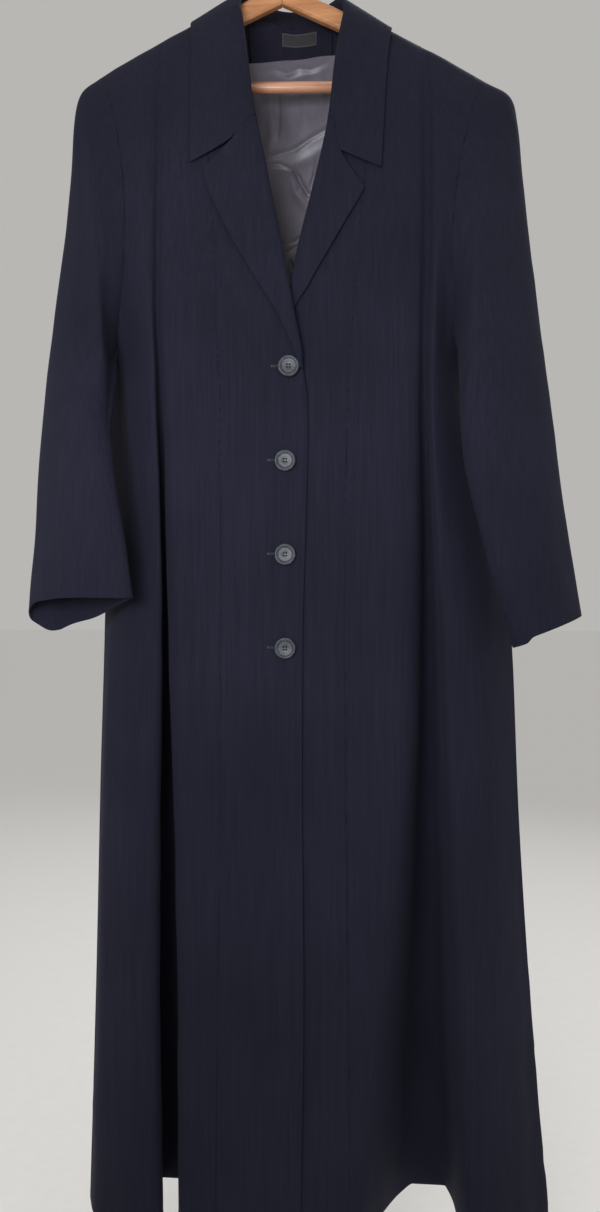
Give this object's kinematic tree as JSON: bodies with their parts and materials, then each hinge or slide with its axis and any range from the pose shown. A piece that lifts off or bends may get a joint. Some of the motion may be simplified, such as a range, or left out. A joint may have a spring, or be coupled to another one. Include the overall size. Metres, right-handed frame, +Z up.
{
  "type": "long coat on a hanger",
  "caption": "Long single-breasted coat with notched lapels, princess seams and a full skirt, buttoned and hung on a wooden hanger with a bar.",
  "frame": {"origin": "inner top of the hanger's hook, where a rail carries it", "axes": "+Z up; +Y from the coat's front to its back; +X to the viewer's right of the coat's front; the hanger hangs in the plane y = 0"},
  "size_m": [0.602, 0.1683, 1.4541],
  "materials": {
    "coat_cloth": "matte crepe-like wool weave",
    "lining": "soft satin",
    "label": "plain woven tape",
    "button": "semi-gloss",
    "wood": "clear satin varnish",
    "steel": "bright plated"
  },
  "bodies": {
    "root": {"front_left_centre": "coat_cloth", "front_left_side": "coat_cloth", "front_right_centre": "coat_cloth", "front_right_side": "coat_cloth", "back": "coat_cloth", "sleeve_left_top": "coat_cloth", "sleeve_left_under": "coat_cloth", "sleeve_right_top": "coat_cloth", "sleeve_right_under": "coat_cloth", "collar": "coat_cloth", "lapel_left": "coat_cloth", "lapel_right": "coat_cloth", "back_neck_facing": "coat_cloth", "back_lining": "lining", "neck_label": "label", "button_1": "button", "button_2": "button", "button_3": "button", "button_4": "button", "hanger_arm_left": "wood", "hanger_arm_right": "wood", "hanger_bar": "wood", "hanger_hook": "steel"}
  },
  "joints": []
}
